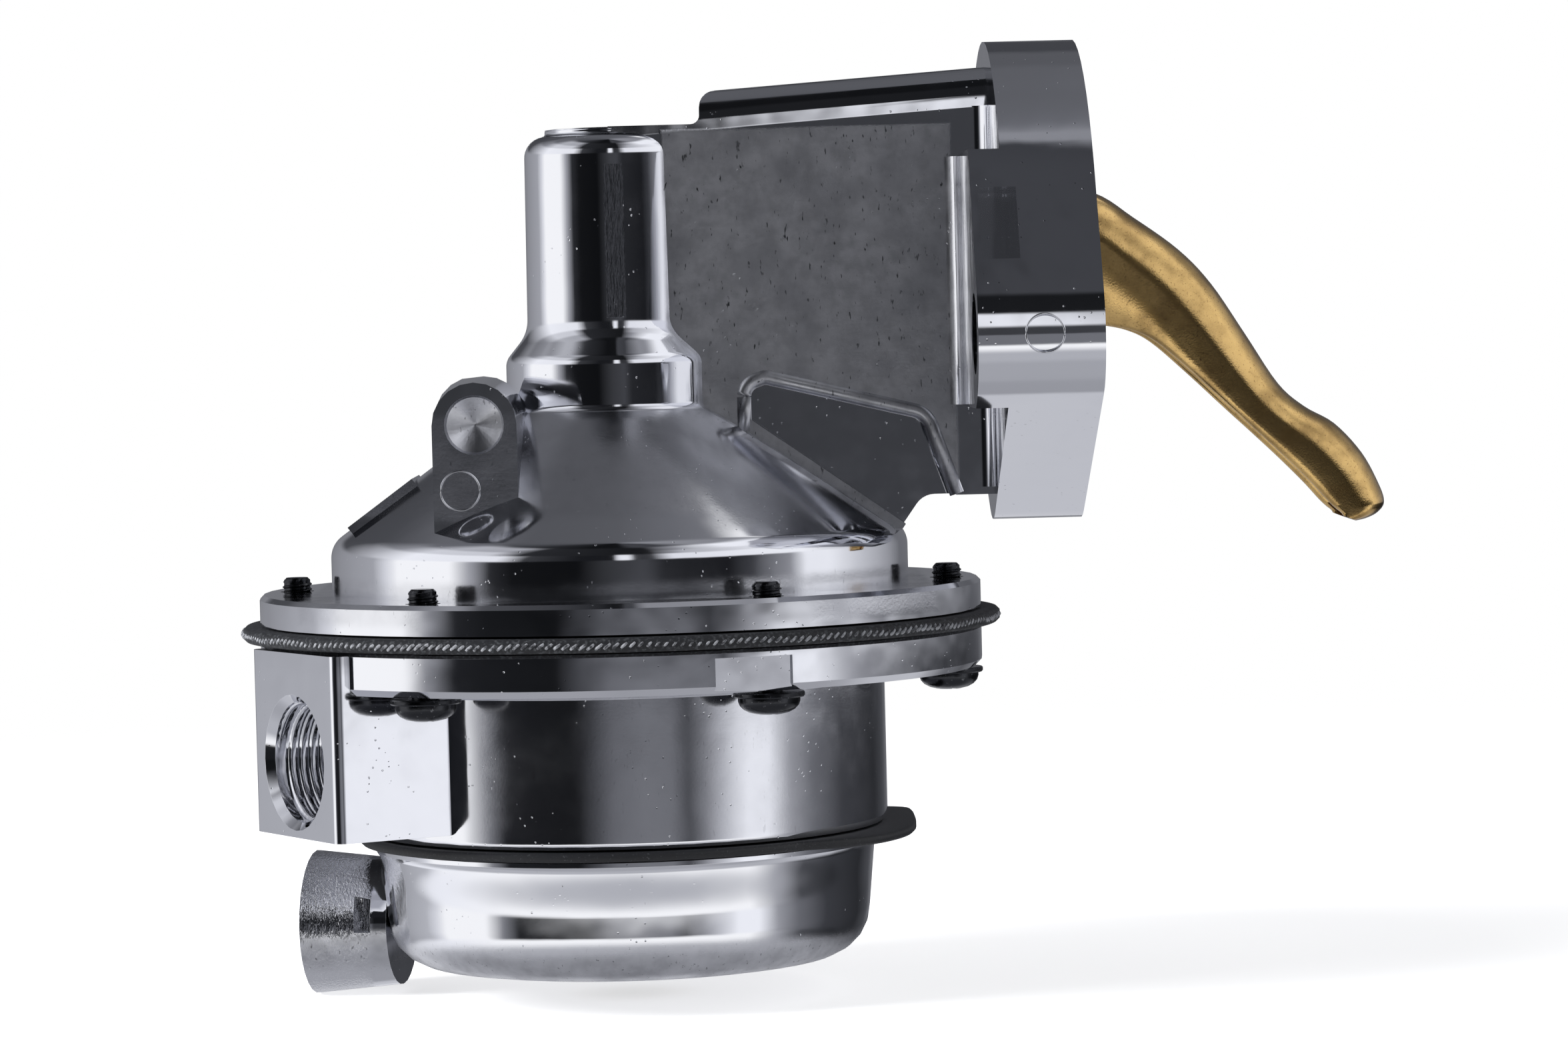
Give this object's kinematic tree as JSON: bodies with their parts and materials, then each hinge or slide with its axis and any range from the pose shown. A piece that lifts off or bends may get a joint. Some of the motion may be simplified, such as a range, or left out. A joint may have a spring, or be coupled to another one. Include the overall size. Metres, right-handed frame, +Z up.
{
  "type": "mechanical fuel pump",
  "caption": "Mechanical diaphragm fuel pump in polished die-cast metal, driven by a gold-plated rocker arm, with an inlet port on its body and an outlet port on its bottom cover.",
  "frame": {"origin": "middle of the cover bolt's head face, at the pump's underside, on the pull rod's axis", "axes": "+Z up along the pull rod's axis, +X towards the engine, out of the mounting flange's face, and -Y towards the side with the lug"},
  "size_m": [0.1544, 0.1024, 0.1272],
  "materials": {
    "polished_casting": "polished die casting, with rougher cast edges",
    "gold_zinc_steel": "yellow zinc plate",
    "fabric_rubber": "fabric reinforced rubber, cut edge",
    "black_rubber": "moulded",
    "ground_steel": "ground",
    "pressed_steel": "pressed sheet",
    "bush_nylon": "natural nylon",
    "spring_steel": "drawn wire",
    "valve_brass": "turned",
    "valve_plastic": "moulded phenolic",
    "copper": "soft copper washer",
    "black_oxide_steel": "black oxide"
  },
  "bodies": {
    "housing": {"upper_housing": "polished_casting", "valve_body": "polished_casting", "bottom_cover": "polished_casting", "cover_gasket": "black_rubber", "cover_bolt": "black_oxide_steel", "bolt_washer": "copper", "diaphragm": "fabric_rubber", "diaphragm_spring": "spring_steel", "arm_return_spring": "spring_steel", "pivot_pin": "ground_steel", "rod_seal": "black_rubber", "seal_retainer": "pressed_steel", "inlet_valve_seat": "valve_brass", "inlet_valve_stem": "valve_brass", "inlet_valve_spring": "spring_steel", "outlet_valve_seat": "valve_brass", "outlet_valve_stem": "valve_brass", "outlet_valve_spring": "spring_steel", "flange_screw_1": "black_oxide_steel", "flange_screw_2": "black_oxide_steel", "flange_screw_3": "black_oxide_steel", "flange_screw_4": "black_oxide_steel", "flange_screw_5": "black_oxide_steel", "flange_screw_6": "black_oxide_steel"},
    "arm": {"rocker_arm": "gold_zinc_steel"},
    "rod": {"pull_rod": "ground_steel", "rod_bush": "bush_nylon", "upper_plate": "pressed_steel", "lower_plate": "pressed_steel", "rod_nut": "pressed_steel"},
    "inlet_disc": {"inlet_valve_disc": "valve_plastic"},
    "outlet_disc": {"outlet_valve_disc": "valve_plastic"}
  },
  "joints": [
    {"name": "arm_pivot", "type": "hinge", "parent": "housing", "child": "arm", "pos_m": [0.053, 0, 0.096], "axis": [0, 1, 0], "range_deg": [0, 6.5], "stiffness_Nm_per_rad": 0.3, "deforming": ["arm_return_spring"]},
    {"name": "rod_lift", "type": "slide", "parent": "housing", "child": "rod", "axis": [0, 0, 1], "range_m": [0, 0.0062], "stiffness_N_per_m": 60, "deforming": ["diaphragm_spring", "diaphragm"]},
    {"name": "inlet_valve_lift", "type": "slide", "parent": "housing", "child": "inlet_disc", "axis": [0, 0, 1], "range_m": [0, 0.001], "stiffness_N_per_m": 60, "deforming": ["inlet_valve_spring"]},
    {"name": "outlet_valve_lift", "type": "slide", "parent": "housing", "child": "outlet_disc", "axis": [0, 0, -1], "range_m": [0, 0.001], "stiffness_N_per_m": 60, "deforming": ["outlet_valve_spring"]}
  ],
  "couplings": [
    {"joint": "rod_lift", "follows": "arm_pivot", "m_per_rad": 0.053}
  ]
}
